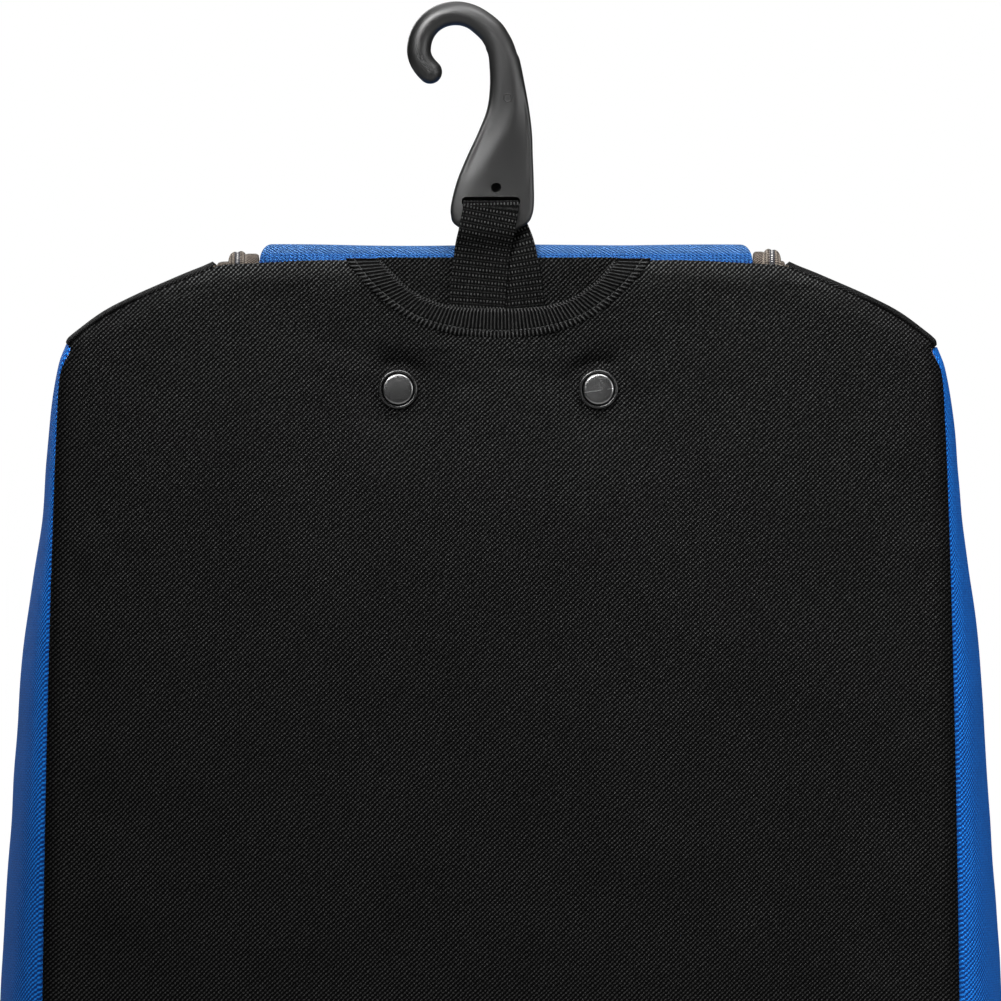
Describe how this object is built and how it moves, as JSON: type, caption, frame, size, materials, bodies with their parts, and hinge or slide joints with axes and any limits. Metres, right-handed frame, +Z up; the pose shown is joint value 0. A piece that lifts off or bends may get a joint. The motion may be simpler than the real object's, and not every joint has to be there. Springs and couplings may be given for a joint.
{
  "type": "wheeled kit bag",
  "caption": "Tall wheeled kit bag with a padded front panel, bulging side gussets, a zipped lid strip and a moulded hanging hook on a webbing loop.",
  "frame": {"origin": "centre of the overall box in plan, at the level that the feet and wheels rest on", "axes": "+Z up, -Y out of the padded front panel, +X to the right as seen from the front"},
  "size_m": [0.468, 0.311, 1.0079],
  "materials": {
    "black_cloth": "matt basket weave",
    "blue_cloth": "matt twill",
    "black_webbing": "fine ribbed webbing",
    "black_tape": "ribbed grosgrain",
    "hook_plastic": "satin moulded",
    "stud_metal": "worn satin",
    "stud_dark": "dark enamel",
    "zip_cloth": "woven tape",
    "slider_metal": "dark satin",
    "tub_plastic": "grained moulded",
    "hub_plastic": "satin moulded",
    "tyre_rubber": "matt rubber",
    "axle_steel": "satin",
    "foot_rubber": "matt"
  },
  "bodies": {
    "bag": {"front_panel": "black_cloth", "back_panel": "black_cloth", "hook_pocket": "black_cloth", "pocket_binding": "black_tape", "hook_strap": "black_webbing", "bag_hook": "hook_plastic", "top_lid": "blue_cloth", "base_tub": "tub_plastic", "side_gusset_left": "blue_cloth", "side_gusset_right": "blue_cloth", "shoulder_strip_left": "black_cloth", "shoulder_strip_right": "black_cloth", "top_zip_left": "zip_cloth", "top_zip_right": "zip_cloth", "zip_slider_left": "slider_metal", "zip_slider_right": "slider_metal", "stud_ring_left": "stud_dark", "stud_ring_right": "stud_dark", "stud_cap_left": "stud_metal", "stud_cap_right": "stud_metal", "wheel_axle_left": "axle_steel", "wheel_axle_right": "axle_steel", "base_foot_left": "foot_rubber", "base_foot_right": "foot_rubber"},
    "left_wheel": {"wheel_hub_left": "hub_plastic", "wheel_tyre_left": "tyre_rubber"},
    "right_wheel": {"wheel_hub_right": "hub_plastic", "wheel_tyre_right": "tyre_rubber"}
  },
  "joints": [
    {"name": "left_wheel_spin", "type": "hinge", "parent": "bag", "child": "left_wheel", "pos_m": [-0.168, 0.1195, 0.036], "axis": [1, 0, 0], "continuous": true},
    {"name": "right_wheel_spin", "type": "hinge", "parent": "bag", "child": "right_wheel", "pos_m": [0.168, 0.1195, 0.036], "axis": [1, 0, 0], "continuous": true}
  ]
}
